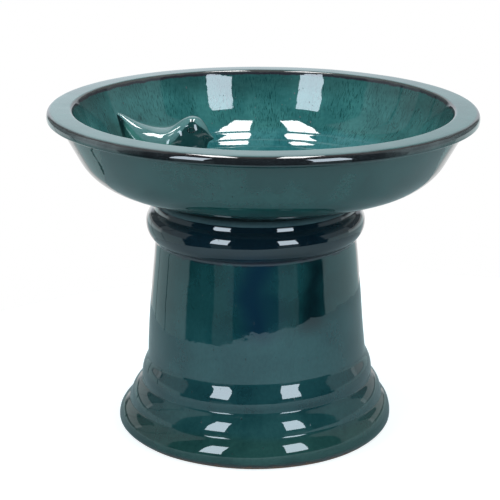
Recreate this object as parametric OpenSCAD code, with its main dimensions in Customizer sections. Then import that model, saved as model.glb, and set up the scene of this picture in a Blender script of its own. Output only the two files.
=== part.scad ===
// Glazed stoneware bird bath: a wide bowl with a small bird in it, set down on a hollow pedestal.
// Millimetres. The origin is on the ground under the bowl's axis, +Z is up and the bird faces +X.

/* [Bowl] */
// Outer diameter of the rim
rim_d = 450; // [400:1:500]
// Width of the flat rim
rim_w = 26; // [22:0.5:32]
// Height of the rim's outer face
rim_edge_h = 11; // [8:0.5:14]
// Depth of the rim where it meets the wall
rim_root_h = 14; // [12:0.5:18]
// How far the rim stands out from the wall
rim_overhang = 13; // [10:0.5:16]
// Height of the bowl from its underside to its rim
bowl_h = 98; // [90:1:110]
// Radius of the flat underside
underside_r = 95; // [90:1:100]
// Slope of the belly beside the underside, in degrees
belly_slope = 17.5; // [14:0.5:20]
// Slope of the outer wall, in degrees
wall_slope = 61; // [57:0.5:66]
// Radius of the turn from belly to wall
turn_r = 60; // [40:1:65]
// Thickness of the wall above the turn
wall_t = 13; // [9:0.5:15]
// Thickness of the belly
belly_t = 11; // [8:0.5:13]
// Thickness of the floor in the middle
floor_t = 14; // [13:0.5:18]
// Radius of the turn from the basin's floor to its wall
basin_turn_r = 60; // [30:1:70]
// Radius of the rounded edges of the rim
rim_edge_r = 4; // [2:0.5:5]

/* [Locating ring] */
// How far the ring reaches down into the pedestal
ring_drop = 12; // [8:0.5:18]
// Width of the ring
ring_w = 11; // [8:0.5:14]
// Clearance between the ring and the pedestal's opening
ring_play = 11; // [10:0.5:14]
// How far off the pedestal's axis the bowl has been set down
bowl_shift = 7.5; // [0:0.5:9]

/* [Pedestal] */
// Height of the pedestal from the ground to the seat
pedestal_h = 253; // [235:1:290]
// Outer radius of the foot
foot_r = 131; // [128:0.5:134]
// Width of the foot that bears on the ground
foot_w = 9; // [7:0.5:12]
// Widest radius of the base
base_r = 147; // [144:0.5:152]
// Height of the base's widest line
base_z = 11; // [8:0.5:14]
// Radius in the lower groove
low_groove_r = 136; // [134:0.5:138]
// Height of the lower groove
low_groove_z = 35; // [32:0.5:40]
// Radius in the upper groove
high_groove_r = 123.5; // [121:0.5:126]
// Height of the upper groove
high_groove_z = 57; // [54:0.5:60]
// Radius at the bottom of the shaft
shaft_low_r = 116.5; // [114.5:0.5:119.5]
// Height of the bottom of the shaft
shaft_low_z = 85; // [80:0.5:92]
// Radius at the top of the shaft
shaft_top_r = 106.5; // [104:0.5:110]
// Thickness of the pedestal's wall
pedestal_wall = 10.5; // [8:0.5:13]

/* [Collar] */
// Height of the collar at the top of the pedestal
collar_h = 43; // [38:0.5:48]
// Widest radius of the collar
collar_r = 115.5; // [113:0.5:119]
// Height of the collar's widest line above its lower edge
collar_mid_h = 20; // [17:0.5:24]
// Outer radius of the seat that carries the bowl
seat_r = 99; // [96:0.5:102]
// Radius of the opening in the seat
seat_bore_r = 80; // [76:0.5:84]
// Thickness of the seat around its opening
seat_t = 13; // [10:0.5:16]

/* [Bird] */
// Length of the bird from tail to beak
bird_len = 104; // [92:1:112]
// Radius of the bird's body
bird_body_r = 20; // [17:0.5:22]
// Radius of the bird's head
bird_head_r = 13; // [11:0.5:15]
// Height of the bird's crown above the bowl's underside
bird_crown_h = 76; // [70:0.5:80]
// Height of the bird's back above the bowl's underside
bird_back_h = 63; // [58:0.5:66]
// Height of the tip of the bird's tail above the bowl's underside
bird_tail_h = 79; // [74:0.5:84]
// Distance of the bird from the bowl's axis, along X
bird_x = -105; // [-110:1:-98]
// Distance of the bird from the bowl's axis, along Y
bird_y = 55; // [50:1:60]

/* [Hidden] */
$fn = 180;

rim_r = rim_d / 2;
wall_top = [rim_r - rim_overhang, bowl_h - rim_root_h];
wall_rise = tan(wall_slope);
belly_rise = tan(belly_slope);
// Corner at which the belly's line meets the wall's line, outside
belly_r = crossing([underside_r, 0], belly_rise, wall_top, wall_rise);
belly_z = belly_rise * (belly_r - underside_r);
// The same corner inside, at the thickness of the belly and of the wall
belly_lift = belly_t / cos(belly_slope);
wall_inset = wall_t / sin(wall_slope);
basin_r = crossing([underside_r, belly_lift], belly_rise, wall_top - [wall_inset, 0], wall_rise);
basin_z = belly_rise * (basin_r - underside_r) + belly_lift;
flat_floor_r = underside_r + (floor_t - belly_lift) / belly_rise;
under_rim_r = 4;
ring_r = seat_bore_r - ring_play;
ring_edge_r = 2.5;
collar_z = pedestal_h - collar_h;
// Height of each curved stretch above its chord, from the foot up to the seat
base_low_bulge = 2.5;
base_top_bulge = 3.7;
middle_bulge = 3;
upper_bulge = 4.2;
shaft_bulge = 0.9;
collar_low_bulge = 2.5;
collar_top_bulge = 5;
arc_steps = 8;
bird_fn = 24;
bird_tail_r = 3;
bird_rump_r = 14;
bird_beak_r = 2;

function unit(v) = v / norm(v);

// Radius at which the line through a with rise_a meets the line through b with rise_b
function crossing(a, rise_a, b, rise_b) =
    (b[1] - a[1] + rise_a * a[0] - rise_b * b[0]) / (rise_a - rise_b);

// Round turn of the given radius at corner b, between its neighbours a and c
function turn(a, b, c, radius) =
    let (
        u = unit(a - b),
        v = unit(c - b),
        half = acos(u * v) / 2,
        centre = b + unit(u + v) * radius / sin(half),
        start = b + u * radius / tan(half) - centre,
        from = atan2(start[1], start[0]),
        side = sign(u[0] * v[1] - u[1] * v[0]),
        sweep = -side * (180 - 2 * half)
    )
    [for (i = [0:arc_steps]) centre + radius * [cos(from + sweep * i / arc_steps), sin(from + sweep * i / arc_steps)]];

// Outline through corners given as [x, y, radius of the turn], closed
function rounded(corners) =
    let (n = len(corners))
    [
        for (i = [0:n - 1])
            let (
                a = corners[(i + n - 1) % n],
                b = corners[i],
                c = corners[(i + 1) % n]
            )
            each b[2] > 0 ? turn([a[0], a[1]], [b[0], b[1]], [c[0], c[1]], b[2]) : [[b[0], b[1]]]
    ];

// Arc from a to b that stands out from its chord by the given height, on the right of a-b
function bow(a, b, height) =
    let (
        chord = norm(b - a),
        radius = chord * chord / (8 * height) + height / 2,
        half = asin(chord / (2 * radius)),
        along = unit(b - a),
        out = [along[1], -along[0]],
        middle = (a + b) / 2
    )
    [
        for (i = [0:arc_steps - 1])
            let (angle = half * (2 * i / arc_steps - 1))
            middle + along * radius * sin(angle) + out * (radius * cos(angle) - radius + height)
    ];

// Section of the bowl, from its underside over the rim to the floor
function bowl_section() = rounded([
    [0, 0, 0],
    [underside_r, 0, 0],
    [belly_r, belly_z, turn_r],
    [wall_top[0], wall_top[1], under_rim_r],
    [rim_r, bowl_h - rim_edge_h, rim_edge_r],
    [rim_r, bowl_h, rim_edge_r],
    [rim_r - rim_w, bowl_h, rim_edge_r],
    [basin_r, basin_z, basin_turn_r],
    [flat_floor_r, floor_t, 0],
    [0, floor_t, 0]
]);

// Outside of the pedestal, from the foot up to the edge of the seat
function pedestal_outside() = concat(
    bow([foot_r, 0], [base_r, base_z], base_low_bulge),
    bow([base_r, base_z], [low_groove_r, low_groove_z], base_top_bulge),
    bow([low_groove_r, low_groove_z], [high_groove_r, high_groove_z], middle_bulge),
    bow([high_groove_r, high_groove_z], [shaft_low_r, shaft_low_z], upper_bulge),
    bow([shaft_low_r, shaft_low_z], [shaft_top_r, collar_z], shaft_bulge),
    bow([shaft_top_r, collar_z], [collar_r, collar_z + collar_mid_h], collar_low_bulge),
    bow([collar_r, collar_z + collar_mid_h], [seat_r, pedestal_h], collar_top_bulge)
);

// Inside of the pedestal, from the seat down to the foot
function pedestal_inside() = [
    [seat_r, pedestal_h],
    [seat_bore_r, pedestal_h],
    [seat_bore_r, pedestal_h - seat_t],
    [shaft_top_r - pedestal_wall, pedestal_h - seat_t - pedestal_wall / 2],
    [shaft_top_r - pedestal_wall, collar_z],
    [shaft_low_r - pedestal_wall, shaft_low_z],
    [low_groove_r - pedestal_wall, low_groove_z],
    [foot_r - foot_w, 0]
];

module pedestal() {
    color("#1f4f50")
        translate([-bowl_shift, 0, 0])
            rotate_extrude()
                polygon(concat(pedestal_outside(), pedestal_inside()));
}

module bowl() {
    color("#2f7774")
        translate([0, 0, pedestal_h])
            rotate_extrude()
                polygon(bowl_section());
}

// Ring under the bowl that keeps it from sliding off the pedestal
module locating_ring() {
    color("#6b4a38")
        translate([0, 0, pedestal_h])
            rotate_extrude()
                polygon(rounded([
                    [ring_r - ring_w, 0, 0],
                    [ring_r - ring_w, -ring_drop, ring_edge_r],
                    [ring_r, -ring_drop, ring_edge_r],
                    [ring_r, 0, 0]
                ]));
}

// Height of the basin's floor at a distance from the bowl's axis
function floor_z(radius) = max(floor_t, belly_rise * (radius - underside_r) + belly_lift);

// Height of a ball of the bird that rests on the floor, sunk by half the belly's thickness
function resting_z(share, radius) =
    floor_z(norm([bird_x + share * bird_len, bird_y])) - belly_t / 2 + radius;

// Ball of the bird, at a share of its length from its middle
module lump(share, height, radius) {
    translate([share * bird_len, 0, height])
        sphere(r = radius, $fn = bird_fn);
}

module tail_ball() {
    lump(-0.5 + bird_tail_r / bird_len, bird_tail_h - bird_tail_r, bird_tail_r);
}

module rump_ball() {
    lump(-0.26, resting_z(-0.26, bird_rump_r), bird_rump_r);
}

module breast_ball() {
    lump(0.14, resting_z(0.14, bird_body_r), bird_body_r);
}

module shoulder_ball() {
    lump(0.08, bird_back_h - bird_rump_r, bird_rump_r);
}

module head_ball() {
    lump(0.28, bird_crown_h - bird_head_r, bird_head_r);
}

module beak_ball() {
    lump(0.5 - bird_beak_r / bird_len, bird_crown_h - 2 * bird_head_r, bird_beak_r);
}

// The bird before it is fitted to the floor
module bird_form() {
    hull() {
        tail_ball();
        rump_ball();
        shoulder_ball();
    }
    hull() {
        rump_ball();
        shoulder_ball();
        breast_ball();
    }
    hull() {
        shoulder_ball();
        breast_ball();
        head_ball();
    }
    hull() {
        head_ball();
        beak_ball();
    }
}

module bird() {
    color("#3d807c")
        translate([0, 0, pedestal_h])
            difference() {
                translate([bird_x, bird_y, 0])
                    bird_form();
                rotate_extrude()
                    polygon(bowl_section());
            }
}

pedestal();
bowl();
locating_ring();
bird();
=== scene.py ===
"""Glazed stoneware bird bath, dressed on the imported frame.

A wide bowl with a small modelled bird sits on a hollow pedestal. The sizes of the pieces are in millimetres
and other lengths are in metres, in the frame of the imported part: the origin is on the ground under the
bowl's axis, +Z is up and the bird faces +X.
"""

import logging
import math
from collections.abc import Sequence
from dataclasses import dataclass, replace
from enum import Enum, IntEnum

import bmesh
import bpy
from mathutils import Matrix, Vector, noise


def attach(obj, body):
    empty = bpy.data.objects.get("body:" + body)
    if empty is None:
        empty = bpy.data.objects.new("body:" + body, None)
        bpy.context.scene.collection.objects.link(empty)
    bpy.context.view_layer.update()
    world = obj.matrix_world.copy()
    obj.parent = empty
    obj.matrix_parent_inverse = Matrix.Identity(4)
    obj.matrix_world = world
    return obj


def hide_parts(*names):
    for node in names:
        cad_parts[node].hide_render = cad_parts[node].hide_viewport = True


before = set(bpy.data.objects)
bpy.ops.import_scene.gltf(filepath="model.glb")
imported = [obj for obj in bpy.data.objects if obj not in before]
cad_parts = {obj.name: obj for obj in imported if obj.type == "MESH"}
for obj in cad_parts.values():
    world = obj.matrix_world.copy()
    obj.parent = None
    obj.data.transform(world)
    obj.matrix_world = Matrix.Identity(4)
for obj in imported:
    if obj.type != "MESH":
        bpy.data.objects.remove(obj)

LOG = logging.getLogger("bird_bath")
MM = 0.001
SEAT = 253.0
PATH = "path"
CROWN_SHEEN = "crown"
ARC_STEP = 3.0
EASE = 0.5
WELD = 0.00001
GLAZE_IOR = 1.66
GLAZE_ROUGHNESS = 0.028
CLAY_ROUGHNESS = 0.8
FALL = (1.0, 0.0)
DEGREES = math.degrees(1.0)
Color = tuple[float, float, float]
WHITE = (1.0, 1.0, 1.0)


@dataclass(frozen=True)
class Corner:
    """Corner of a thrown section, in millimetres from the piece's axis and from the ground.

    turn is the radius of its rounding, bulge how far the stretch from it to the next corner stands out,
    and mark a name for its place along the section.
    """

    radius: float
    height: float
    turn: float = 0.0
    bulge: float = 0.0
    mark: str = ""

    def place(self, axis: float) -> Vector:
        """Place of the corner in the frame, in metres, for an axis at the given X in millimetres."""
        return Vector(((axis + self.radius) * MM, 0.0, self.height * MM))


@dataclass(frozen=True)
class Cut:
    """How fine a spun form is cut and how uneven the potter's hand leaves it, in metres.

    turns is the number of faces round the axis. bend, in radians, and longest are the largest turn and the
    longest edge that thinning leaves. Before it, the section is cut to edges of fine and eased for a number
    of rounds. After it, the wall wavers by waver, in hollows as wide as hollow.
    """

    turns: int
    bend: float
    longest: float = 0.006
    fine: float = 0.0
    rounds: int = 0
    waver: float = 0.0
    hollow: float = 0.05


class Section:
    """Half section of a thrown piece, drawn corner by corner and then spun round the piece's axis."""

    def __init__(self, corners: Sequence[Corner], axis: float) -> None:
        """Draw the section.

        Args:
            corners: corners in order, with the piece's outside on the right of the way.
            axis: place of the axis along X, in millimetres.
        """
        self.axis = axis
        self.mesh = bmesh.new()
        self.marks: dict[str, float] = {}
        self.path = self.mesh.verts.layers.float.new(PATH)
        places = [corner.place(axis) for corner in corners]
        self.tip = self.mesh.verts.new(places[0])
        for index, corner in enumerate(corners):
            if corner.turn > 0:
                self._turn(places[index], places[index + 1], corner.turn * MM)
            elif index > 0 and corners[index - 1].bulge == 0:
                self._line(places[index])
            if corner.mark:
                self.marks[corner.mark] = self.tip[self.path]
            if corner.bulge:
                self._bow(places[index + 1], corner.bulge * MM)

    def _line(self, place: Vector) -> None:
        """Draw a straight stretch from the tip to a place."""
        made = bmesh.ops.extrude_vert_indiv(self.mesh, verts=[self.tip])["verts"][0]
        made.co = place
        made[self.path] = self.tip[self.path] + (place - self.tip.co).length
        self.tip = made

    def _arc(self, centre: Vector, angle: float) -> None:
        """Draw an arc from the tip round a centre, to the left if the angle is above 0."""
        steps = max(2, round(abs(math.degrees(angle)) / ARC_STEP))
        radius = (self.tip.co - centre).length
        for _ in range(steps):
            made = bmesh.ops.spin(
                self.mesh,
                geom=[self.tip],
                cent=centre,
                axis=(0, -1, 0),
                angle=angle / steps,
                steps=1,
                use_duplicate=False,
            )["geom_last"]
            tip = next(g for g in made if isinstance(g, bmesh.types.BMVert))
            tip[self.path] = self.tip[self.path] + radius * abs(angle) / steps
            self.tip = tip

    def _bow(self, place: Vector, bulge: float) -> None:
        """Draw an arc from the tip to a place that stands out from the straight way by its bulge."""
        chord = place - self.tip.co
        radius = chord.length**2 / (8 * abs(bulge)) + abs(bulge) / 2
        half = math.asin(min(1.0, chord.length / (2 * radius)))
        out = Vector((chord.z, 0.0, -chord.x)).normalized() * math.copysign(1.0, bulge)
        centre = (self.tip.co + place) / 2 - out * (radius * math.cos(half))
        self._arc(centre, math.copysign(2 * half, bulge))

    def _turn(self, place: Vector, after: Vector, radius: float) -> None:
        """Draw a straight stretch to a corner and round it towards the corner after it."""
        back = (self.tip.co - place).normalized()
        ahead = (after - place).normalized()
        half = back.angle(ahead) / 2
        self._line(place + back * radius / math.tan(half))
        centre = place + (back + ahead).normalized() * radius / math.sin(half)
        left = back.x * ahead.z - back.z * ahead.x < 0
        self._arc(centre, math.copysign(math.pi - 2 * half, 1.0 if left else -1.0))

    def soften(self, fine: float, rounds: int) -> None:
        """Cut the section fine and let its corners flow, as the glaze does.

        Args:
            fine: longest edge after the cut, in metres.
            rounds: number of times that every corner is eased.
        """
        for edge in list(self.mesh.edges):
            cuts = int(edge.calc_length() / fine)
            if cuts > 0:
                bmesh.ops.subdivide_edges(self.mesh, edges=[edge], cuts=cuts)
        inner = [vert for vert in self.mesh.verts if len(vert.link_edges) == 2]
        for _ in range(rounds):
            bmesh.ops.smooth_vert(
                self.mesh, verts=inner, factor=EASE, use_axis_x=True, use_axis_y=True, use_axis_z=True
            )

    def thin(self, longest: float, bend: float) -> None:
        """Take out the vertices that the shape doesn't need.

        Args:
            longest: longest edge that may be left, in metres.
            bend: largest turn between two edges that are left, in radians.
        """
        ends = [vert for vert in self.mesh.verts if len(vert.link_edges) == 1]
        last = min(ends, key=lambda vert: vert[self.path])
        before = last.link_edges[0]
        length, turned, spare = before.calc_length(), 0.0, []
        vert = before.other_vert(last)
        while len(vert.link_edges) == 2:
            after = next(edge for edge in vert.link_edges if edge is not before)
            ahead = after.other_vert(vert)
            turned += (vert.co - before.other_vert(vert).co).angle(ahead.co - vert.co, 0.0)
            length += after.calc_length()
            if length < longest and turned < bend:
                spare.append(vert)
            else:
                length, turned = after.calc_length(), 0.0
            before, vert = after, ahead
        bmesh.ops.dissolve_verts(self.mesh, verts=spare)

    def spin(self, turns: int) -> bmesh.types.BMesh:
        """Spin the section round its axis.

        Args:
            turns: number of faces round the axis.

        Returns:
            The closed form, with its faces outward.
        """
        bmesh.ops.spin(
            self.mesh,
            geom=list(self.mesh.verts) + list(self.mesh.edges),
            cent=(self.axis * MM, 0, 0),
            axis=(0, 0, 1),
            angle=math.tau,
            steps=turns,
            use_merge=True,
            use_duplicate=False,
        )
        bmesh.ops.remove_doubles(self.mesh, verts=self.mesh.verts, dist=WELD)
        bmesh.ops.recalc_face_normals(self.mesh, faces=self.mesh.faces)
        return self.mesh

    def throw(self, cut: Cut) -> bmesh.types.BMesh:
        """Soften, thin and spin the section, and let its wall waver.

        Args:
            cut: how fine and how uneven the form gets.

        Returns:
            The closed form, with its faces outward.
        """
        if cut.rounds:
            self.soften(cut.fine, cut.rounds)
        self.thin(cut.longest, cut.bend)
        mesh = self.spin(cut.turns)
        if cut.waver:
            waver(mesh, cut.waver, cut.hollow)
        return mesh


def waver(mesh: bmesh.types.BMesh, depth: float, length: float) -> None:
    """Give a thrown surface the slight unevenness of the potter's hand, which never adds to its size.

    Args:
        mesh: the form, whose vertices move inwards along their normals.
        depth: how far they move on average, in metres.
        length: size of the hollows, in metres.
    """
    finer, fainter = 2.3, 0.5
    mesh.normal_update()
    moves = []
    for vert in mesh.verts:
        place = vert.co / length
        wave = noise.noise(place) + fainter * noise.noise(place * finer)
        moves.append(vert.normal * (wave - 1.0) * depth)
    for vert, move in zip(mesh.verts, moves):
        vert.co += move


def settle(mesh: bmesh.types.BMesh, name: str, material: bpy.types.Material) -> bpy.types.Object:
    """Turn a finished bmesh into an object at the origin, shaded smooth.

    Args:
        mesh: the finished form, which is freed.
        name: name of the piece.
        material: its finish.

    Returns:
        The piece, linked to the scene.
    """
    for face in mesh.faces:
        face.smooth = True
    data = bpy.data.meshes.new(name)
    mesh.to_mesh(data)
    mesh.free()
    data.materials.append(material)
    piece = bpy.data.objects.new(name, data)
    bpy.context.scene.collection.objects.link(piece)
    LOG.info("%s: %d faces", name, len(data.polygons))
    return piece


@dataclass(frozen=True)
class Grain:
    """Noise: how fine it is, how many layers it has and how rough they are.

    depth is what it is multiplied by, and patches are cut out of it between its two limits.
    """

    scale: float
    detail: float = 2.0
    rough: float = 0.5
    depth: float = 1.0
    limits: tuple[float, float] = (-0.5, 0.5)


class Graph:
    """Node tree of one finish, with a short way to add each kind of node."""

    NUMBERS = (0, 2, 3)
    COLORS = (0, 6, 7)
    MIXED_COLOR = 2

    def __init__(self, tree: bpy.types.NodeTree) -> None:
        """Start from an empty tree."""
        self.tree = tree
        tree.nodes.clear()

    def node(self, kind: str, **values: object) -> bpy.types.Node:
        """Add a node and set its properties.

        Args:
            kind: class name of the node.
            values: properties of the node.

        Returns:
            The node.
        """
        made = self.tree.nodes.new(kind)
        for name, value in values.items():
            setattr(made, name, value)
        return made

    def feed(self, socket: bpy.types.NodeSocket, value: object) -> None:
        """Link a socket to another one, or set its constant."""
        if isinstance(value, bpy.types.NodeSocket):
            self.tree.links.new(value, socket)
        elif isinstance(value, tuple) and len(value) == 3 and socket.type == "RGBA":
            socket.default_value = (*value, 1.0)
        else:
            socket.default_value = value

    def math(self, operation: str, *inputs: object) -> bpy.types.NodeSocket:
        """Add a Math node.

        Args:
            operation: what it does.
            inputs: up to two sockets or numbers.

        Returns:
            Its output.
        """
        made = self.node("ShaderNodeMath", operation=operation)
        for socket, value in zip(made.inputs, inputs):
            self.feed(socket, value)
        return made.outputs[0]

    def plus(self, a: object, b: object) -> bpy.types.NodeSocket:
        """Add two numbers."""
        return self.math("ADD", a, b)

    def minus(self, a: object, b: object) -> bpy.types.NodeSocket:
        """Take b from a."""
        return self.math("SUBTRACT", a, b)

    def times(self, a: object, b: object) -> bpy.types.NodeSocket:
        """Multiply two numbers."""
        return self.math("MULTIPLY", a, b)

    def larger(self, a: object, b: object) -> bpy.types.NodeSocket:
        """Pick the larger of two numbers."""
        return self.math("MAXIMUM", a, b)

    def off(self, value: object, middle: object) -> bpy.types.NodeSocket:
        """Distance of a value from a middle."""
        return self.math("ABSOLUTE", self.minus(value, middle))

    def step(
        self, value: object, low: float, high: float, to: tuple[float, float] = (0.0, 1.0)
    ) -> bpy.types.NodeSocket:
        """Add a smooth step.

        Args:
            value: what is read.
            low: value at which the step starts.
            high: value at which it ends.
            to: result below the step and above it.

        Returns:
            Its output.
        """
        made = self.node("ShaderNodeMapRange", interpolation_type="SMOOTHSTEP")
        for socket, number in zip(made.inputs, (value, low, high, *to)):
            self.feed(socket, number)
        return made.outputs[0]

    def band(self, value: object, low: float, high: float, soft: float) -> bpy.types.NodeSocket:
        """Return 1 between two values, with soft ends."""
        up = self.step(value, low - soft, low + soft)
        down = self.step(value, high - soft, high + soft, FALL)
        return self.times(up, down)

    def mix(self, factor: object, a: object, b: object) -> bpy.types.NodeSocket:
        """Mix two colours.

        Args:
            factor: share of b.
            a: first colour.
            b: second colour.

        Returns:
            The mixed colour.
        """
        made = self.node("ShaderNodeMix", data_type="RGBA")
        for index, value in zip(self.COLORS, (factor, a, b)):
            self.feed(made.inputs[index], value)
        return made.outputs[self.MIXED_COLOR]

    def blend(self, factor: object, a: object, b: object) -> bpy.types.NodeSocket:
        """Mix two numbers, where factor is the share of b."""
        made = self.node("ShaderNodeMix", data_type="FLOAT")
        for index, value in zip(self.NUMBERS, (factor, a, b)):
            self.feed(made.inputs[index], value)
        return made.outputs[0]

    def noise(self, vector: object, grain: Grain) -> bpy.types.NodeSocket:
        """Add a noise of about -1 to 1 that is 0 on average."""
        made = self.node("ShaderNodeTexNoise", normalize=False)
        self.feed(made.inputs["Vector"], vector)
        made.inputs["Scale"].default_value = grain.scale
        made.inputs["Detail"].default_value = grain.detail
        made.inputs["Roughness"].default_value = grain.rough
        return made.outputs[0]

    def deep(self, vector: object, grain: Grain) -> bpy.types.NodeSocket:
        """Add a noise that is multiplied by its depth."""
        return self.times(self.noise(vector, grain), grain.depth)

    def patches(self, vector: object, grain: Grain) -> bpy.types.NodeSocket:
        """Add a noise that is cut to patches of 1 on 0 at its limits."""
        return self.step(self.noise(vector, grain), *grain.limits)

    def join(self, x: object, y: object, z: object) -> bpy.types.NodeSocket:
        """Join three numbers into a vector."""
        made = self.node("ShaderNodeCombineXYZ")
        for socket, value in zip(made.inputs, (x, y, z)):
            self.feed(socket, value)
        return made.outputs[0]

    def scaled(self, vector: object, tall: float) -> bpy.types.NodeSocket:
        """Scale a vector's third number."""
        made = self.node("ShaderNodeMapping")
        self.feed(made.inputs["Vector"], vector)
        made.inputs["Scale"].default_value = (1.0, 1.0, tall)
        return made.outputs[0]

    def split(self, vector: object) -> tuple[bpy.types.NodeSocket, ...]:
        """Split a vector into three numbers."""
        made = self.node("ShaderNodeSeparateXYZ")
        self.feed(made.inputs[0], vector)
        return tuple(made.outputs)


class Surface(Enum):
    """How a glazed piece was made, which is how its runs and specks lie."""

    THROWN = "thrown"
    MODELLED = "modelled"


@dataclass(frozen=True)
class Lie:
    """Coordinates of a surface: plain ones, ones that follow its wall, and the way along its section."""

    plain: bpy.types.NodeSocket
    follow: bpy.types.NodeSocket
    path: bpy.types.NodeSocket


@dataclass(frozen=True)
class Pits:
    """Pits of a glaze: how close and long they are, how rare wide ones are, and how wide, deep and matt."""

    scale: float = 260.0
    length: float = 0.6
    rarity: float = 9.0
    width: float = 0.24
    depth: float = 0.0001
    matt: float = 0.4


PITS = Pits()

# Noises of the finishes. A depth is a share of a colour or roughness, or a length in metres.
SHEEN = Grain(45.0, detail=3.0, depth=0.01)
SWELL = Grain(55.0, depth=0.00003)
PEEL = Grain(240.0, depth=0.000003)
CLOUDS = Grain(22.0, detail=3.0, depth=0.7, limits=(-0.45, 0.45))
FLECKS = Grain(260.0, detail=3.0, depth=0.3)
WANDER = Grain(14.0, depth=0.7)
RAGGED = Grain(90.0, detail=4.0, rough=0.6, depth=0.003)
DRIFT = Grain(18.0, detail=3.0, depth=0.016)
PLACES = Grain(34.0, limits=(-0.7, 0.3))
RUNS = Grain(1150.0, rough=0.6, limits=(0.1, 0.5))
FROST = Grain(1100.0, rough=0.6, limits=(0.05, 0.45))
CROWN_SHEEN_EDGE = Grain(160.0, depth=0.06)
CLAY_CLOUDS = Grain(900.0, detail=4.0, limits=(-0.4, 0.4))
CLAY_GRIT = Grain(1400.0, detail=3.0, depth=0.00008)

# Runs are drawn out by shortening their height, on walls unrolled as if all had the pattern's radius.
RUN_SHORTENING = 0.13
PATTERN_RADIUS = 0.16
LEAST_RADIUS = 0.02

# Painted dark reflections of the studio's dark front lie on the front, between two places along Y, and reach
# a share of their width to each side.
DARK_REFLECTION_FRONT = (-0.07, -0.03)
DARK_REFLECTION_REACH = 0.6
DARK_REFLECTION_STRENGTH = 0.96

# The bird's crown attribute, which places a painted pale sheen, is 1 or so along its top, ROLL on the rolls
# round its eyes and 0 elsewhere.
CROWN_SHEEN_LIMITS = (0.44, 0.56)
ROLL = -1.0
ROLL_LIMITS = (-0.7, -0.3)


@dataclass(frozen=True)
class Coat:
    """Glaze as it fires from a mark of the section on, clouded between a deep and a light colour; one such
    coat is a painted reflection.

    after is how far past the mark it starts and soft the width of its limit, in millimetres.
    runs, specks and pale are the shares of its dark runs, its pits and its pale specks.
    """

    mark: str
    deep: Color
    light: Color
    after: float = 0.0
    soft: float = 6.0
    runs: float = 0.0
    specks: float = 0.5
    pale: float = 0.0


CLAY = Coat("start", deep=(0.10, 0.048, 0.030), light=(0.20, 0.105, 0.062), specks=0.0)


@dataclass(frozen=True)
class Band:
    """Stretch of a section, bare or with its own colour, from one named mark of the section to another.

    before and after widen it and soft is the width of its limits, in millimetres. waver is how ragged its
    limits are.
    """

    start: str
    end: str
    color: Color = CLAY.deep
    before: float = 0.0
    after: float = 0.0
    soft: float = 0.8
    strength: float = 1.0
    waver: float = 1.0


@dataclass(frozen=True)
class DarkReflection:
    """Painted dark reflection: a dark patch in front where the glaze mirrors the studio's dark front, in
    millimetres in the frame.

    soft is how it fades at its bottom and top, and solid the share of its width that doesn't fade sideways.
    """

    centre: float
    width: float
    bottom: float
    top: float
    color: Color
    soft: float = 14.0
    solid: float = 0.0


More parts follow.
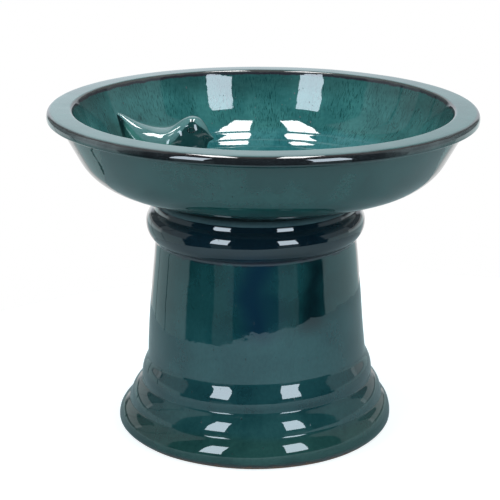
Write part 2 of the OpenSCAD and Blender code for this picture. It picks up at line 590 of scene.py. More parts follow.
@dataclass(frozen=True)
class Glaze:
    """Glossy reduction glaze: coats in clouds, fine runs, specks, breaks over edges, painted dark
    reflections, a painted pale sheen on top and bare clay.
    """

    name: str
    coats: tuple[Coat, ...]
    run: Color = (0.003, 0.024, 0.024)
    speck: Color = (0.003, 0.009, 0.010)
    frost: Color = (0.10, 0.125, 0.13)
    breaks: tuple[Band, ...] = ()
    bare: tuple[Band, ...] = ()
    dark_reflections: tuple[DarkReflection, ...] = ()
    crown: Color | None = None
    kind: Surface = Surface.THROWN
    axis: float = 0.0

    def material(self, marks: dict[str, float]) -> bpy.types.Material:
        """Build the finish.

        Args:
            marks: places of the section's marks along it, in metres.

        Returns:
            The material.
        """
        material = bpy.data.materials.new(self.name)
        material.use_nodes = True
        graph = Graph(material.node_tree)
        lie = self.lie(graph)
        color, habit = self.body(graph, lie, marks)
        color, pits = self.runs_and_specks(graph, color, habit, lie)
        for band in self.breaks:
            color = graph.mix(self.cover(graph, band, lie, marks), color, band.color)
        gloss = graph.plus(GLAZE_ROUGHNESS, graph.deep(lie.plain, SHEEN))
        gloss = graph.plus(gloss, graph.times(pits, PITS.matt))
        skin = graph.minus(graph.deep(lie.plain, PEEL), graph.times(pits, PITS.depth))
        height = graph.plus(graph.deep(lie.plain, SWELL), skin)
        if self.bare:
            bare = self.cover(graph, self.bare[0], lie, marks)
            for band in self.bare[1:]:
                bare = graph.larger(bare, self.cover(graph, band, lie, marks))
            clay = graph.mix(graph.patches(lie.plain, CLAY_CLOUDS), CLAY.deep, CLAY.light)
            color = graph.mix(bare, color, clay)
            gloss = graph.blend(bare, gloss, CLAY_ROUGHNESS)
            height = graph.plus(height, graph.times(graph.deep(lie.plain, CLAY_GRIT), bare))
        bump = graph.node("ShaderNodeBump")
        bump.inputs["Distance"].default_value = 1.0
        graph.feed(bump.inputs["Height"], height)
        shader = graph.node("ShaderNodeBsdfPrincipled")
        shader.inputs["IOR"].default_value = GLAZE_IOR
        graph.feed(shader.inputs["Base Color"], color)
        graph.feed(shader.inputs["Roughness"], gloss)
        graph.feed(shader.inputs["Normal"], bump.outputs[0])
        out = graph.node("ShaderNodeOutputMaterial")
        graph.feed(out.inputs[0], shader.outputs[0])
        return material

    def lie(self, graph: Graph) -> Lie:
        """Coordinates of the surface.

        Args:
            graph: the tree that they are added to.

        Returns:
            Plain coordinates, coordinates that follow the wall, and the distance along its section.
        """
        plain = graph.node("ShaderNodeTexCoord").outputs["Object"]
        x, y, z = graph.split(plain)
        if self.kind is Surface.MODELLED:
            return Lie(plain, plain, x)
        x = graph.minus(x, self.axis * MM)
        square = graph.plus(graph.times(x, x), graph.times(y, y))
        radius = graph.larger(graph.math("SQRT", square), LEAST_RADIUS)
        path = graph.node("ShaderNodeAttribute", attribute_name=PATH).outputs["Fac"]
        across = (graph.times(graph.math("DIVIDE", n, radius), PATTERN_RADIUS) for n in (x, y))
        return Lie(plain, graph.join(*across, path), path)

    def body(self, graph: Graph, lie: Lie, marks: dict[str, float]) -> tuple[bpy.types.NodeSocket, ...]:
        """Clouded colour of the glaze, coat by coat along the section, with its painted dark reflections and
        a painted pale sheen on top.

        Args:
            graph: the tree that it is added to.
            lie: coordinates of the surface.
            marks: places of the section's marks along it, in metres.

        Returns:
            The colour, and the shares of runs, pits and pale specks as a vector.
        """
        clouds = graph.times(graph.patches(lie.plain, CLOUDS), CLOUDS.depth)
        flecks = graph.times(graph.patches(lie.follow, FLECKS), FLECKS.depth)
        share = graph.plus(clouds, flecks)
        wander = graph.noise(lie.plain, WANDER)
        color: object = (0.0, 0.0, 0.0)
        habit: object = (0.0, 0.0, 0.0)
        for coat in self.coats:
            own = graph.mix(share, coat.deep, coat.light)
            place = marks[coat.mark] + coat.after * MM
            soft = coat.soft * MM
            way = graph.plus(lie.path, graph.times(wander, soft * WANDER.depth))
            here = graph.step(way, place - soft, place + soft)
            color = graph.mix(here, color, own)
            habit = graph.mix(here, habit, (coat.runs, coat.specks, coat.pale))
        for dark_reflection in self.dark_reflections:
            color = graph.mix(self.dark_reflection_share(graph, dark_reflection, lie), color, dark_reflection.color)
        # A pale painted sheen is laid over the bird's top; the rolls round its eyes take the speck colour.
        if self.crown:
            crown = graph.node("ShaderNodeAttribute", attribute_name=CROWN_SHEEN).outputs["Fac"]
            crown = graph.plus(crown, graph.deep(lie.plain, CROWN_SHEEN_EDGE))
            color = graph.mix(graph.step(crown, *CROWN_SHEEN_LIMITS), color, self.crown)
            color = graph.mix(graph.step(crown, *ROLL_LIMITS, FALL), color, self.speck)
        return color, habit

    def dark_reflection_share(self, graph: Graph, dark_reflection: DarkReflection, lie: Lie) -> bpy.types.NodeSocket:
        """Share of a painted dark reflection at a point."""
        x, y, z = graph.split(lie.plain)
        away = graph.off(graph.plus(x, graph.deep(lie.plain, DRIFT)), dark_reflection.centre * MM)
        across = graph.step(away, dark_reflection.solid * dark_reflection.width * MM, dark_reflection.width * MM * DARK_REFLECTION_REACH, FALL)
        tall = graph.band(z, dark_reflection.bottom * MM, dark_reflection.top * MM, dark_reflection.soft * MM)
        there = graph.times(graph.times(across, tall), graph.step(y, *DARK_REFLECTION_FRONT, FALL))
        return graph.times(there, DARK_REFLECTION_STRENGTH)

    def runs_and_specks(
        self, graph: Graph, color: object, habit: object, lie: Lie
    ) -> tuple[bpy.types.NodeSocket, ...]:
        """Short dark runs down the wall, pale specks, and pits with dark centres.

        Args:
            graph: the tree that they are added to.
            color: colour of the glaze.
            habit: shares of runs, pits and pale specks.
            lie: coordinates of the surface.

        Returns:
            The colour, and the share of a pit at a point.
        """
        runs, specks, pale = graph.split(habit)
        shortening = RUN_SHORTENING if self.kind is Surface.THROWN else 1.0
        places = graph.patches(lie.plain, PLACES)
        dark = graph.patches(graph.scaled(lie.follow, shortening), RUNS)
        color = graph.mix(graph.times(graph.times(dark, places), runs), color, self.run)
        frost = graph.times(graph.patches(lie.follow, FROST), places)
        color = graph.mix(graph.times(frost, pale), color, self.frost)
        dots = graph.node("ShaderNodeTexVoronoi", feature="F1")
        graph.feed(dots.inputs["Vector"], graph.scaled(lie.follow, PITS.length))
        dots.inputs["Scale"].default_value = PITS.scale
        size = graph.node("ShaderNodeSeparateColor")
        graph.feed(size.inputs[0], dots.outputs["Color"])
        reach = graph.times(graph.math("POWER", size.outputs[0], PITS.rarity), PITS.width)
        pits = graph.times(graph.math("LESS_THAN", dots.outputs["Distance"], reach), specks)
        return graph.mix(pits, color, self.speck), pits

    def cover(self, graph: Graph, band: Band, lie: Lie, marks: dict[str, float]) -> bpy.types.NodeSocket:
        """Share of a band at a point, with ragged limits."""
        ragged = graph.times(graph.noise(lie.follow, RAGGED), band.waver * RAGGED.depth)
        low = marks[band.start] - band.before * MM
        high = marks[band.end] + band.after * MM
        share = graph.band(graph.plus(lie.path, ragged), low, high, band.soft * MM)
        return graph.times(share, band.strength)


@dataclass
class Bowl:
    """Wide thrown bowl with a flat rim that stands out from its wall and throwing ridges in its basin."""

    base: float = SEAT
    underside_radius: float = 95.0
    belly: tuple[float, float] = (180.4, 26.9)
    wall_top: tuple[float, float] = (212.0, 84.0)
    rim_radius: float = 224.8
    rim_under: float = 87.4
    rim_top: float = 97.8
    rim_fall: float = 0.6
    rim_inner: float = 198.2
    basin_turn: tuple[float, float] = (175.2, 45.2)
    ridges: tuple[tuple[float, float], ...] = ((159.8, 33.5), (150.2, 26.6), (141.5, 20.9))
    ridge_top: tuple[float, float] = (1.2, 0.4)
    ridge_hollow: float = 0.2
    floor_radius: float = 102.8
    floor: float = 14.0
    cut: Cut = Cut(turns=320, bend=0.055, fine=0.0005, rounds=3, waver=0.00015)

    def corners(self) -> list[Corner]:
        """Corners of the section, from the middle of the underside to the middle of the floor."""
        ridges = []
        wide, high = self.ridge_top
        for radius, height in self.ridges[:-1]:
            ridges.append(Corner(radius + wide, height + high))
            ridges.append(Corner(radius - wide, height - high, bulge=-self.ridge_hollow))
        ridges.append(Corner(*self.ridges[-1]))
        corners = [
            Corner(0.0, 0.0, mark="start"),
            Corner(self.underside_radius, 0.0, turn=3.0, mark="underside"),
            Corner(*self.belly, turn=60.0),
            Corner(*self.wall_top, turn=2.5),
            Corner(self.rim_radius, self.rim_under, turn=3.0, mark="rim_low"),
            Corner(self.rim_radius, self.rim_top - self.rim_fall, turn=6.2, mark="rim_edge"),
            Corner(self.rim_inner, self.rim_top, turn=4.2, mark="rim_inner"),
            Corner(*self.basin_turn, turn=54.0, mark="turn"),
            *ridges,
            Corner(self.floor_radius, self.floor, turn=40.0),
            Corner(0.0, self.floor),
        ]
        return [replace(corner, height=corner.height + self.base) for corner in corners]

    def build(self, glaze: Glaze) -> bpy.types.Object:
        """Build the bowl.

        Args:
            glaze: its finish.

        Returns:
            The piece.
        """
        section = Section(self.corners(), 0.0)
        return settle(section.throw(self.cut), "bowl_glazed", glaze.material(section.marks))


@dataclass
class Pedestal:
    """Hollow thrown pedestal: three beads at its foot, a tapered shaft and a collar under the bowl."""

    axis: float = -7.5
    foot_bore: float = 122.0
    foot: float = 131.0
    base: tuple[float, float] = (147.0, 11.0)
    low_groove: tuple[float, float] = (136.0, 34.2)
    high_groove: tuple[float, float] = (123.5, 56.2)
    flare_low: tuple[float, float] = (119.3, 79.0)
    flare_high: tuple[float, float] = (117.0, 86.0)
    collar_groove: tuple[float, float] = (106.5, 211.0)
    collar_widest: tuple[float, float] = (115.7, 228.5)
    collar_turn: tuple[float, float] = (115.7, 239.5)
    collar_step: tuple[float, float] = (106.9, 243.7)
    seat: float = SEAT
    seat_radius: float = 106.9
    seat_bore: float = 80.0
    seat_under: float = 240.0
    wall: tuple[tuple[float, float], ...] = ((96.0, 234.75), (96.0, 210.0), (106.0, 85.0), (125.5, 35.0))
    lean: float = 0.026
    drift: float = 1.0
    bend: float = 1.6
    bend_height: float = 70.0
    bend_reach: float = 35.0
    firm_foot: float = 30.0
    firm_top: float = 60.0
    cut: Cut = Cut(turns=288, bend=0.06, fine=0.0006, rounds=14, waver=0.0002)

    def corners(self) -> list[Corner]:
        """Corners of the section, from the foot up the outside and down the inside."""
        return [
            Corner(self.foot_bore, 0.0, mark="start"),
            Corner(self.foot, 0.0, bulge=2.5, mark="foot"),
            Corner(*self.base, bulge=3.7),
            Corner(*self.low_groove, bulge=3.0, mark="low_groove"),
            Corner(*self.high_groove, bulge=2.05, mark="high_groove"),
            Corner(*self.flare_low, bulge=-0.42),
            Corner(*self.flare_high, bulge=0.7, mark="shaft"),
            Corner(*self.collar_groove, bulge=2.4, mark="collar_groove"),
            Corner(*self.collar_widest),
            Corner(*self.collar_turn, turn=15.0),
            Corner(*self.collar_step, mark="step"),
            Corner(self.seat_radius, self.seat, turn=9.0, mark="seat"),
            Corner(self.seat_bore, self.seat, turn=2.0),
            Corner(self.seat_bore, self.seat_under, turn=2.0),
            *(Corner(*place, turn=5.0) for place in self.wall),
            Corner(self.foot_bore, 0.0, mark="end"),
        ]

    def settle_unevenly(self, mesh: bmesh.types.BMesh) -> None:
        """Let the beads rise and drift a little towards +X, as on a pot that dried unevenly."""
        for vert in mesh.verts:
            height = vert.co.z / MM
            low = max(0.0, min(1.0, height / self.firm_foot))
            high = max(0.0, min(1.0, (self.seat - height) / self.firm_top))
            beads = math.exp(-(((height - self.bend_height) / self.bend_reach) ** 2))
            rise = self.lean * (vert.co.x - self.axis * MM) * low * high
            vert.co.x += (self.drift + self.bend * beads) * MM * low * high
            vert.co.z += rise

    def build(self, glaze: Glaze) -> bpy.types.Object:
        """Build the pedestal.

        Args:
            glaze: its finish.

        Returns:
            The piece.
        """
        section = Section(self.corners(), self.axis)
        mesh = section.throw(self.cut)
        self.settle_unevenly(mesh)
        return settle(mesh, "pedestal_glazed", glaze.material(section.marks))


@dataclass
class LocatingRing:
    """Bare clay ring under the bowl that drops into the pedestal's seat."""

    outer: float = 69.0
    width: float = 11.0
    drop: float = 12.0
    sunk: float = 0.3
    base: float = SEAT
    cut: Cut = Cut(turns=128, bend=0.08)

    def corners(self) -> list[Corner]:
        """Corners of the section, from the underside of the bowl down the outside and up the inside."""
        inner, top, bottom = self.outer - self.width, self.base + self.sunk, self.base - self.drop
        return [
            Corner(inner, top, mark="start"),
            Corner(inner, bottom, turn=2.5),
            Corner(self.outer, bottom, turn=2.5),
            Corner(self.outer, top),
            Corner(inner, top, mark="end"),
        ]

    def build(self, clay: Glaze) -> bpy.types.Object:
        """Build the ring.

        Args:
            clay: its finish.

        Returns:
            The piece.
        """
        section = Section(self.corners(), 0.0)
        return settle(section.throw(self.cut), "locating_ring_clay", clay.material(section.marks))


RING_SIDES = 8


class Spot(IntEnum):
    """Vertex of a ring of the bird's cage, from the top round the near side."""

    TOP = 0
    NEAR_SHOULDER = 1
    NEAR_SIDE = 2
    KEEL = 4
    FAR_SIDE = 6
    FAR_SHOULDER = 7


@dataclass(frozen=True)
class Station:
    """Ring of the bird's cage, in millimetres.

    top and keel are places along X and Z, and shoulder, side and belly places along X, Y and Z to one side.
    ridge is how sharp its ridges are, and crown how far a painted pale sheen on the top reaches down past
    its shoulders.
    """

    top: tuple[float, float]
    shoulder: tuple[float, float, float]
    side: tuple[float, float, float]
    belly: tuple[float, float, float]
    keel: tuple[float, float]
    ridge: float = 0.0
    crown: float = 1.0

    def places(self) -> list[Vector]:
        """Places of the ring's eight vertices, from the top round the near side."""
        flank = [Vector(place) for place in (self.shoulder, self.side, self.belly)]
        near = [Vector((place.x, -place.y, place.z)) for place in flank]
        top, keel = (Vector((x, 0.0, z)) for x, z in (self.top, self.keel))
        return [top, *near, keel, *reversed(flank)]


@dataclass
class Bird:
    """Small modelled bird with a raised, keeled tail, a round head and pressed eyes."""

    plane: float = 55.0
    head: tuple[float, float, float] = (-76.4, 14.3, 313.5)
    eye_reach: float = 3.3
    eye_thick: float = 0.55
    eye_sides: int = 6
    eye_turns: int = 14
    eye_form: tuple[float, float, float] = (1.15, 0.8, 1.0)
    eye_lean: float = 0.08
    stations: tuple[Station, ...] = (
        Station(
            (-157.0, 331.2), (-157.2, 1.8, 330.6), (-157.4, 2.2, 329.4),
            (-157.2, 1.2, 327.0), (-156.8, 325.5), ridge=1.0,
        ),
        Station(
            (-149.0, 328.2), (-149.2, 4.0, 327.4), (-152.9, 6.0, 323.7),
            (-153.2, 3.4, 315.8), (-153.4, 312.5), ridge=1.0,
        ),
        Station(
            (-135.0, 320.6), (-135.5, 11.5, 318.4), (-142.8, 16.2, 311.0),
            (-147.0, 9.0, 300.4), (-149.0, 296.0), ridge=1.0,
        ),
        Station(
            (-120.0, 316.2), (-120.5, 17.0, 313.6), (-132.6, 23.8, 297.8),
            (-136.0, 16.0, 281.6), (-140.0, 278.0), ridge=0.85, crown=1.3,
        ),
        Station(
            (-106.0, 315.2), (-106.5, 23.0, 311.4), (-106.4, 29.0, 299.0),
            (-109.0, 18.0, 268.0), (-114.0, 262.0), ridge=0.3, crown=1.6,
        ),
        Station(
            (-96.0, 318.4), (-95.5, 18.0, 314.4), (-95.0, 24.0, 298.0),
            (-95.5, 19.0, 267.0), (-96.0, 261.0), crown=1.7,
        ),
        Station(
            (-87.2, 324.8), (-87.0, 8.6, 321.4), (-86.6, 12.8, 310.5),
            (-85.0, 16.0, 276.0), (-80.0, 260.0), crown=1.2,
        ),
        Station(
            (-76.5, 329.8), (-76.2, 10.8, 325.4), (-76.2, 15.6, 314.6),
            (-73.5, 15.0, 290.0), (-68.0, 262.0), crown=0.3,
        ),
        Station(
            (-66.8, 326.6), (-66.4, 7.6, 322.6), (-66.2, 10.8, 313.4),
            (-65.0, 11.0, 295.0), (-60.0, 276.0),
        ),
        Station(
            (-60.2, 317.2), (-60.0, 4.6, 314.8), (-60.2, 6.4, 308.8),
            (-60.2, 5.6, 301.0), (-59.2, 294.0),
        ),
        Station(
            (-57.4, 308.4), (-57.2, 2.6, 307.6), (-57.2, 3.6, 304.4),
            (-57.4, 2.8, 301.2), (-57.6, 299.6), ridge=0.4,
        ),
        Station(
            (-52.6, 303.6), (-52.6, 0.7, 303.3), (-52.5, 0.9, 302.6),
            (-52.6, 0.7, 301.9), (-52.8, 301.6), ridge=0.4,
        ),
    )
    coats: tuple[tuple[str, float], ...] = (("start", -200.0), ("back", -148.0), ("breast", -96.0))
    rounding: int = 3

    def loop(self, verts: Sequence[bmesh.types.BMVert]) -> list[bmesh.types.BMEdge]:
        """Edges between neighbours of a ring."""
        pairs = zip(verts, [*verts[1:], verts[0]])
        return [edge for a, b in pairs for edge in a.link_edges if edge.other_vert(a) is b]

    def build(self, glaze: Glaze) -> bpy.types.Object:
        """Build the bird.

        Args:
            glaze: its finish.

        Returns:
            The piece.
        """
        mesh = bmesh.new()
        crease = mesh.edges.layers.float.new("crease_edge")
        crown = mesh.verts.layers.float.new(CROWN_SHEEN)
        rings = [list(bmesh.ops.create_circle(mesh, segments=RING_SIDES, radius=MM)["verts"])]
        for _ in self.stations[1:]:
            edges = self.loop(rings[-1])
            made = bmesh.ops.extrude_edge_only(mesh, edges=edges)["geom"]
            new = {item for item in made if isinstance(item, bmesh.types.BMVert)}
            links = [next(e for e in vert.link_edges if e.other_vert(vert) in new) for vert in rings[-1]]
            rings.append([edge.other_vert(vert) for edge, vert in zip(links, rings[-1])])
        for verts, station in zip(rings, self.stations):
            for vert, place in zip(verts, station.places()):
                vert.co = (place + Vector((0.0, self.plane, 0.0))) * MM
            # Painted pale sheen: full at the top, and at the shoulders as each station gives.
            verts[Spot.TOP][crown] = 1.0
            verts[Spot.NEAR_SHOULDER][crown] = verts[Spot.FAR_SHOULDER][crown] = station.crown
        for verts in (rings[0], rings[-1]):
            bmesh.ops.contextual_create(mesh, geom=verts)
        for first, second, station in zip(rings, rings[1:], self.stations):
            for spot in (Spot.NEAR_SIDE, Spot.FAR_SIDE, Spot.KEEL):
                edge = mesh.edges.get((first[spot], second[spot]))
                edge[crease] = station.ridge
        for side in (-1.0, 1.0):
            self.press_eye(mesh, side)
        bmesh.ops.recalc_face_normals(mesh, faces=mesh.faces)
        marks = {mark: place * MM for mark, place in self.coats}
        piece = settle(mesh, "bird_glazed", glaze.material(marks))
        rounding = piece.modifiers.new("rounding", "SUBSURF")
        rounding.levels = rounding.render_levels = self.rounding
        return piece

    def press_eye(self, mesh: bmesh.types.BMesh, side: float) -> None:
        """Lay a thin roll of clay round the eye, on one side of the head.

        Args:
            mesh: the bird's form, which the roll is added to.
            side: -1 for the side towards -Y and 1 for the other.
        """
        x, radius, z = (n * MM for n in self.head)
        old = set(mesh.verts)
        thick = self.eye_thick * MM
        roll = bmesh.ops.create_circle(mesh, segments=self.eye_sides, radius=thick)["verts"]
        bmesh.ops.rotate(mesh, verts=roll, cent=(0, 0, 0), matrix=Matrix.Rotation(math.pi / 2, 3, "X"))
        bmesh.ops.translate(mesh, verts=roll, vec=(self.eye_reach * MM, 0, 0))
        bmesh.ops.spin(
            mesh,
            geom=[*roll, *self.loop(roll)],
            cent=(0, 0, 0),
            axis=(0, 0, 1),
            angle=math.tau,
            steps=self.eye_turns,
            use_merge=True,
            use_duplicate=False,
        )
        verts = [vert for vert in mesh.verts if vert not in old]
        crown = mesh.verts.layers.float[CROWN_SHEEN]
        for vert in verts:
            vert[crown] = ROLL
        bmesh.ops.scale(mesh, verts=verts, vec=self.eye_form)
        tilt = Matrix.Rotation(-side * (math.pi / 2 - self.eye_lean), 3, "X")
        bmesh.ops.rotate(mesh, verts=verts, cent=(0, 0, 0), matrix=tilt)
        out = tilt @ Vector((0, 0, 1))
        bmesh.ops.translate(mesh, verts=verts, vec=Vector((x, self.plane * MM, z)) + out * radius)


@dataclass(frozen=True)
class SoftBox:
    """Rectangular lamp: its place, what it faces, its size, how bright it is and if surfaces mirror it."""

    name: str
    place: tuple[float, float, float]
    target: tuple[float, float, float]
    size: tuple[float, float]
    radiance: float
    color: Color = WHITE
    mirrored: bool = True

    def build(self) -> None:
        """Put the lamp up."""
        data = bpy.data.lights.new(self.name, "AREA")
        data.shape = "RECTANGLE"
        data.size, data.size_y = self.size
        data.energy = self.radiance * math.pi * self.size[0] * self.size[1]
        data.color = self.color
        lamp = bpy.data.objects.new(self.name, data)
        lamp.location = self.place
        toward = Vector(self.target) - Vector(self.place)
        lamp.rotation_mode = "QUATERNION"
        lamp.rotation_quaternion = toward.to_track_quat("-Z", "Y")
        lamp.visible_camera = False
        lamp.visible_glossy = self.mirrored
        bpy.context.scene.collection.objects.link(lamp)


@dataclass(frozen=True)
class Cloth:
    """Lit cloth of the tent: two headings, in degrees from the front, their softness and its level."""

    low: float
    high: float
    soft: float
    level: float


@dataclass
class Studio:
    """Round pale floor in a white tent that is dark in front, with lamps in front, above and low behind.

    Headings and rises in the tent are in degrees. upper, between and lower are its sides, above and below
    the horizon, rear is where they turn into its back, and stands are what shows under the front lamps.
    """

    eye: tuple[float, float, float] = (0.0, -1.750, 0.72126)
    pitch: float = 16.767
    yaw: float = 0.4216
    roll: float = 0.3
    lens: float = 123.66
    sensor: float = 36.0
    sight: tuple[float, float] = (0.05, 20.0)
    floor_centre: tuple[float, float] = (0.13, -0.15)
    floor_radius: float = 0.69
    floor_sides: int = 128
    floor_color: Color = (0.37, 0.46, 0.47)
    floor_glow: float = 0.8
    upper: Cloth = Cloth(75.0, 118.0, 1.5, 0.40)
    between: Cloth = Cloth(118.0, 152.0, 4.0, 0.18)
    lower: Cloth = Cloth(79.5, 156.0, 1.5, 0.70)
    stands: Cloth = Cloth(24.0, 46.0, 1.0, 0.25)
    horizon: tuple[float, float] = (-1.0, 1.0)
    rear: tuple[float, float] = (150.0, 158.0)
    rear_sides: tuple[float, float] = (-0.05, 0.15)
    rear_levels: tuple[float, float] = (1.06, 0.84)
    roof: tuple[float, float] = (58.0, 64.0)
    seams: tuple[tuple[float, float], ...] = ((-114.0, -101.5), (-138.0, -131.0))
    seam_rise: tuple[float, float] = (2.0, 20.0)
    seam_width: tuple[float, float] = (0.4, 0.9)
    seam_depth: float = 0.85
    darkest: float = 0.015
    tint_upper: Color = (0.85, 1.0, 1.04)
    tint_upper_rear: Color = (0.95, 1.0, 1.08)
    tint_lower: Color = (0.74, 1.0, 1.03)
    lamps: tuple[SoftBox, ...] = (
        SoftBox("tall_left", (-1.03, -1.42, 1.06), (0.0, 0.0, 1.06), (0.54, 1.48), 8.0, (0.86, 1.0, 1.12)),
        SoftBox("tall_right", (0.96, -1.46, 1.06), (0.0, 0.0, 1.06), (0.56, 1.48), 8.0, (0.86, 1.0, 1.12)),
        SoftBox("strip_left", (-0.39, 0.0, 2.0), (-0.39, 0.0, 0.0), (0.27, 0.96), 16.0),
        SoftBox("strip_right", (0.28, 0.0, 2.0), (0.28, 0.0, 0.0), (0.27, 0.96), 16.0),
        SoftBox("low_left", (-0.62, 0.58, 0.21), (0.0, 0.0, 0.21), (0.85, 0.24), 0.5, (0.95, 1.0, 1.0)),
        SoftBox("low_right", (0.62, 0.58, 0.21), (0.0, 0.0, 0.21), (0.85, 0.24), 0.5, (0.95, 1.0, 1.0)),
        SoftBox("fill", (0.0, -1.45, 1.0), (0.0, 0.0, 1.0), (1.5, 1.5), 2.4, (0.86, 1.0, 1.08), False),
    )

    def floor(self) -> None:
        """Pale floor that reads as white and keeps the object's shadow."""
        mesh = bmesh.new()
        bmesh.ops.create_circle(mesh, cap_ends=True, segments=self.floor_sides, radius=self.floor_radius)
        bmesh.ops.translate(mesh, verts=mesh.verts, vec=(*self.floor_centre, 0.0))
        material = bpy.data.materials.new("pale_floor")
        material.use_nodes = True
        graph = Graph(material.node_tree)
        diffuse = graph.node("ShaderNodeBsdfDiffuse")
        graph.feed(diffuse.inputs[0], self.floor_color)
        glow = graph.node("ShaderNodeEmission")
        camera = graph.node("ShaderNodeLightPath").outputs["Is Camera Ray"]
        graph.feed(glow.inputs[1], graph.times(camera, self.floor_glow))
        total = graph.node("ShaderNodeAddShader")
        graph.feed(total.inputs[0], diffuse.outputs[0])
        graph.feed(total.inputs[1], glow.outputs[0])
        out = graph.node("ShaderNodeOutputMaterial")
        graph.feed(out.inputs[0], total.outputs[0])
        settle(mesh, "floor", material)

    def lit(self, graph: Graph, away: object, cloth: Cloth) -> bpy.types.NodeSocket:
        """Level of a stretch of cloth at a heading."""
        return graph.times(graph.band(away, cloth.low, cloth.high, cloth.soft), cloth.level)

    def seam(
        self, graph: Graph, turn: object, rise: object, headings: tuple[float, float]
    ) -> bpy.types.NodeSocket:
        """Dark seam in the tent's cloth, from one heading below to another above."""
        away = graph.off(turn, graph.step(rise, *self.seam_rise, headings))
        return graph.times(graph.step(away, *self.seam_width, FALL), self.seam_depth)

    def world(self) -> None:
        """White tent with a dark front and seams, plain white to the camera."""
        world = bpy.data.worlds.new("studio")
        bpy.context.scene.world = world
        world.use_nodes = True
        graph = Graph(world.node_tree)
        x, y, z = graph.split(graph.node("ShaderNodeTexCoord").outputs["Generated"])
        turn = graph.times(graph.math("ARCTAN2", x, graph.times(y, -1.0)), DEGREES)
        rise = graph.times(graph.math("ARCSINE", z), DEGREES)
        away = graph.math("ABSOLUTE", turn)
        above = graph.step(rise, *self.horizon)
        upper = graph.larger(self.lit(graph, away, self.upper), self.lit(graph, away, self.between))
        sides = graph.blend(above, self.lit(graph, away, self.lower), upper)
        rear = graph.step(away, *self.rear)
        level = graph.blend(above, 1.0, graph.step(x, *self.rear_sides, self.rear_levels))
        sides = graph.larger(sides, graph.times(rear, level))
        sides = graph.times(sides, graph.step(rise, *self.roof, FALL))
        for headings in self.seams:
            seam = self.seam(graph, turn, rise, headings)
            sides = graph.times(sides, graph.minus(1.0, seam))
        stands = graph.times(self.lit(graph, away, self.stands), graph.minus(1.0, above))
        light = graph.larger(graph.larger(sides, stands), self.darkest)
        high = graph.mix(rear, self.tint_upper, self.tint_upper_rear)
        tint = graph.mix(above, graph.mix(rear, self.tint_lower, WHITE), high)
        camera = graph.node("ShaderNodeLightPath").outputs["Is Camera Ray"]
        shader = graph.node("ShaderNodeBackground")
        graph.feed(shader.inputs[0], graph.mix(camera, tint, WHITE))
        graph.feed(shader.inputs[1], graph.blend(camera, light, 1.0))
        out = graph.node("ShaderNodeOutputWorld")
        graph.feed(out.inputs[0], shader.outputs[0])

    def camera(self) -> None:
        """Camera in front of the bowl."""
        data = bpy.data.cameras.new("camera")
        data.lens = self.lens
        data.sensor_width = self.sensor
        data.clip_start, data.clip_end = self.sight
        camera = bpy.data.objects.new("camera", data)
        camera.location = self.eye
        turns = ((self.yaw, "Z"), (90.0 - self.pitch, "X"), (self.roll, "Z"))
        heading, tip, roll = (Matrix.Rotation(math.radians(angle), 3, axis) for angle, axis in turns)
        camera.rotation_euler = (heading @ tip @ roll).to_euler()
        bpy.context.scene.collection.objects.link(camera)
        bpy.context.scene.camera = camera

    def build(self) -> None:
        """Put up the whole studio."""
        self.camera()
        self.floor()
        self.world()
        for lamp in self.lamps:
            lamp.build()
        bpy.context.scene.view_settings.view_transform = "Standard"


BROWN = (0.018, 0.011, 0.010)
RUST = (0.052, 0.034, 0.032)
PLUM = (0.018, 0.0065, 0.013)
BOWL_GLAZE = Glaze(
    name="bowl_glaze",
    run=(0.003, 0.028, 0.028),
    coats=(
        Coat("start", (0.0040, 0.030, 0.029), (0.0080, 0.048, 0.045), runs=0.35, specks=0.6),
        Coat("rim_low", (0.042, 0.050, 0.050), (0.080, 0.090, 0.088), soft=2.0, specks=0.6, pale=0.12),
        Coat("rim_edge", (0.016, 0.090, 0.084), (0.028, 0.122, 0.112), after=-2.0, soft=1.5, specks=0.3),
        Coat("rim_inner", (0.012, 0.050, 0.048), (0.022, 0.078, 0.073), soft=2.0, runs=0.8, specks=0.7),
        Coat(
            "rim_inner", (0.018, 0.092, 0.089), (0.034, 0.136, 0.128),
            after=19.0, soft=17.0, runs=0.8, specks=0.7,
        ),
        Coat("turn", (0.016, 0.102, 0.108), (0.038, 0.152, 0.154), runs=0.55, specks=0.7),
    ),
    breaks=(
        Band(
            "rim_edge", "rim_edge", (0.026, 0.017, 0.016),
            before=4.8, after=-3.7, soft=0.4, strength=0.8, waver=0.2,
        ),
        Band("rim_inner", "rim_inner", RUST, before=3.2, after=0.3, soft=1.0, strength=0.8, waver=0.2),
        Band("rim_inner", "rim_inner", PLUM, before=0.2, after=2.6, strength=0.8, waver=0.3),
    ),
    bare=(Band("start", "underside", after=-8.0),),
    # Painted dark reflection of the studio's dark front on the front of the rim's outer face.
    dark_reflections=(
        DarkReflection(
            centre=-2.0, width=285.0, bottom=341.0, top=349.4,
            color=(0.0045, 0.005, 0.006), soft=1.5, solid=0.36,
        ),
    ),
)
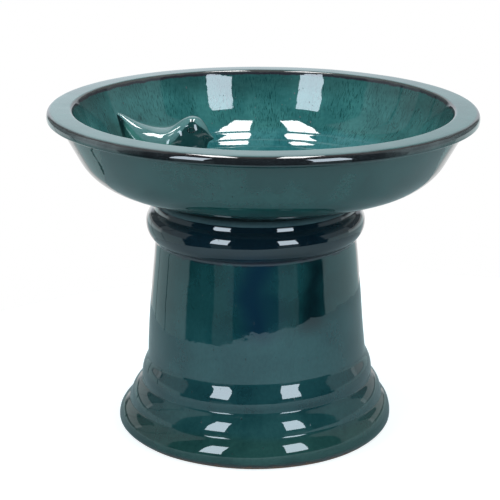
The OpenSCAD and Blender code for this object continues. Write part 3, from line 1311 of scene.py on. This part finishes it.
PEDESTAL_GLAZE = Glaze(
    name="pedestal_glaze",
    coats=(
        Coat("start", (0.007, 0.032, 0.029), (0.015, 0.052, 0.045), runs=0.15),
        Coat("low_groove", (0.006, 0.034, 0.036), (0.014, 0.054, 0.054), runs=0.15),
        Coat("high_groove", (0.004, 0.025, 0.029), (0.009, 0.042, 0.045), runs=0.15),
        Coat("shaft", (0.004, 0.034, 0.038), (0.010, 0.050, 0.053), soft=4.0, runs=0.2),
        Coat("shaft", (0.003, 0.024, 0.026), (0.0065, 0.038, 0.040), after=58.0, soft=16.0, runs=0.2),
        Coat("collar_groove", (0.0015, 0.006, 0.010), (0.003, 0.011, 0.017), soft=2.0, runs=0.1),
        # Painted reflection of the bowl's underside: a lighter coat on the top of the collar's upper roll.
        Coat("step", (0.036, 0.068, 0.078), (0.054, 0.092, 0.100), after=5.6, soft=0.5),
    ),
    breaks=(
        Band("foot", "foot", BROWN, before=1.0, after=18.4, strength=0.95, waver=0.5),
        Band(
            "collar_groove", "collar_groove", (0.010, 0.007, 0.014),
            before=1.5, after=4.0, soft=2.0, strength=0.8,
        ),
    ),
    bare=(
        Band("seat", "end", before=-14.0),
        Band("start", "foot", after=14.6),
    ),
    # Painted dark reflections: dark bands down the front of the shaft and collar.
    dark_reflections=(
        DarkReflection(centre=-9.0, width=60.0, bottom=132.0, top=219.0, color=(0.0024, 0.014, 0.027)),
        DarkReflection(centre=50.0, width=44.0, bottom=138.0, top=215.0, color=(0.0012, 0.0075, 0.010)),
    ),
    axis=Pedestal.axis,
)
BIRD_GLAZE = Glaze(
    name="bird_glaze",
    coats=(
        Coat("start", (0.005, 0.016, 0.017), (0.008, 0.024, 0.025), specks=0.2),
        Coat("back", (0.028, 0.115, 0.098), (0.046, 0.150, 0.128), soft=3.0, runs=0.3, specks=0.2),
        Coat("breast", (0.005, 0.028, 0.028), (0.010, 0.040, 0.039), soft=4.0, runs=0.2, specks=0.2),
    ),
    # Colour of the painted pale sheen on the bird's top.
    crown=(0.074, 0.160, 0.154),
    kind=Surface.MODELLED,
)
BARE_CLAY = Glaze(
    name="bare_stoneware",
    coats=(CLAY,),
    bare=(Band("start", "end", before=5.0, after=5.0),),
)


def main() -> None:
    """Build the studio and every piece."""
    logging.basicConfig(level=logging.INFO)
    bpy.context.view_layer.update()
    Studio().build()
    pieces = (
        (Bowl().build(BOWL_GLAZE), "bowl", "bowl", "bowl_glaze"),
        (Pedestal().build(PEDESTAL_GLAZE), "pedestal", "pedestal", "pedestal_glaze"),
        (LocatingRing().build(BARE_CLAY), "bowl", "locating_ring", "bare_stoneware"),
        (Bird().build(BIRD_GLAZE), "bowl", "bird", "bird_glaze"),
    )
    for piece, body, node, slot in pieces:
        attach(piece, body)
        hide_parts(node)
        LOG.info("%s rides on %s and stands for %s", piece.name, body, node)


if __name__ == "__main__":
    main()
